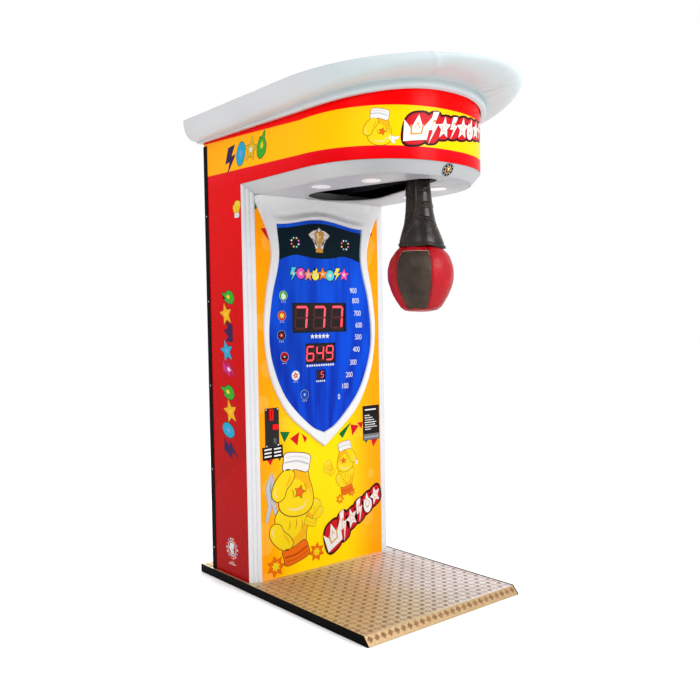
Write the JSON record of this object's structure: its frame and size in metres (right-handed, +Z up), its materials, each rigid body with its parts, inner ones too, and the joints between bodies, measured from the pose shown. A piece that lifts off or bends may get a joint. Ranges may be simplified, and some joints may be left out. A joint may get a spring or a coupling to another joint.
{
  "type": "boxing punch machine",
  "caption": "Coin-operated boxing machine: platform, narrow cabinet with shield display, head reaching over the player and a leather punch ball on a swinging arm.",
  "frame": {"origin": "centre of the platform's underside, on the floor", "axes": "+Z up, -Y towards the player's side (the machine's front), +X to the right when facing the front"},
  "size_m": [0.895, 1.33, 1.9341],
  "materials": {
    "red_vinyl": "board with glossy red printed vinyl",
    "red_paint": "glossy red paint",
    "black_board": "board with black laminate",
    "yellow_print": "board with glossy orange and yellow print",
    "white_moulding": "vacuum-formed, glossy light grey",
    "black_edge": "satin extrusion",
    "tread_metal": "raised tread pattern",
    "blue_print": "back-printed clear sheet",
    "display_glass": "dark red filter",
    "black_plastic": "satin",
    "red_plastic": "glossy",
    "red_leather": "grained",
    "black_leather": "grained",
    "steel": "zinc plated",
    "painted_steel": "black powder coat",
    "rubber": "matte",
    "lamp_lens": "frosted",
    "circuit_green": "circuit board"
  },
  "bodies": {
    "cabinet": {"platform_board": "black_board", "tread_plate": "tread_metal", "base_anchor_frame": "painted_steel", "side_panel_left": "red_vinyl", "side_panel_right": "red_vinyl", "front_panel": "yellow_print", "rear_upper_panel": "painted_steel", "rear_lower_panel": "painted_steel", "rear_edge_strip_left": "black_edge", "rear_edge_strip_right": "black_edge", "corner_trim_left": "white_moulding", "corner_trim_right": "white_moulding", "door_hinge_frame_leaf": "steel", "door_hinge_pin": "steel", "shield_frame": "white_moulding", "shield_window": "blue_print", "score_display": "display_glass", "high_score_display": "display_glass", "credit_display": "display_glass", "led_ring_left": "black_plastic", "led_ring_right": "black_plastic", "rules_plate": "black_plastic", "coin_plate": "painted_steel", "coin_entry_bezel": "red_plastic", "coin_mechanism": "steel", "cash_box": "painted_steel", "nose_band": "red_paint", "underside_moulding": "white_moulding", "canopy": "white_moulding", "nose_badge": "black_plastic", "downlight_front_left": "lamp_lens", "downlight_front_right": "lamp_lens", "downlight_rear_left": "lamp_lens", "downlight_rear_right": "lamp_lens", "frame_rail_left": "painted_steel", "frame_rail_right": "painted_steel", "front_cross_beam": "painted_steel", "rear_cross_beam": "painted_steel", "bearing_left": "steel", "bearing_right": "steel", "end_buffer": "rubber", "speed_sensor": "black_plastic", "release_solenoid": "steel", "control_board": "circuit_green", "power_supply": "steel", "speaker": "black_plastic", "mains_inlet": "black_plastic"},
    "bag_arm": {"swing_arm": "steel", "pivot_shaft": "steel", "bag_ball": "red_leather", "bag_sleeve": "black_leather", "sensor_disc": "steel"},
    "door": {"service_door": "painted_steel", "door_hinge_door_leaf": "steel"},
    "lock": {"door_lock": "steel"},
    "coin_button": {"coin_return_button": "red_plastic"},
    "latch": {"latch_hook": "steel"},
    "plunger": {"solenoid_plunger": "steel"},
    "switch": {"power_switch": "black_plastic"}
  },
  "joints": [
    {"name": "bag_swing", "type": "hinge", "parent": "cabinet", "child": "bag_arm", "pos_m": [0, -0.422, 1.6], "axis": [1, 0, 0], "range_deg": [-15, 88]},
    {"name": "door_swing", "type": "hinge", "parent": "cabinet", "child": "door", "pos_m": [-0.348, 0.4726, 0.726], "axis": [0, 0, 1], "range_deg": [0, 110]},
    {"name": "lock_turn", "type": "hinge", "parent": "door", "child": "lock", "pos_m": [0.2, 0.46, 1.225], "axis": [0, 1, 0], "range_deg": [0, 90]},
    {"name": "coin_return_press", "type": "slide", "parent": "cabinet", "child": "coin_button", "axis": [0, 1, 0], "range_m": [0, 0.003], "stiffness_N_per_m": 200, "springref_m": -0.001},
    {"name": "latch_turn", "type": "hinge", "parent": "cabinet", "child": "latch", "pos_m": [0.023, -0.478, 1.69], "axis": [1, 0, 0], "range_deg": [0, 19]},
    {"name": "plunger_slide", "type": "slide", "parent": "cabinet", "child": "plunger", "axis": [0, 1, 0], "range_m": [-0.0061, 0]},
    {"name": "power_switch_rock", "type": "hinge", "parent": "cabinet", "child": "switch", "pos_m": [0.13, 0.466, 0.115], "axis": [1, 0, 0], "range_deg": [0, 16]}
  ],
  "couplings": [
    {"joint": "plunger_slide", "follows": "latch_turn", "m_per_rad": -0.0178}
  ]
}
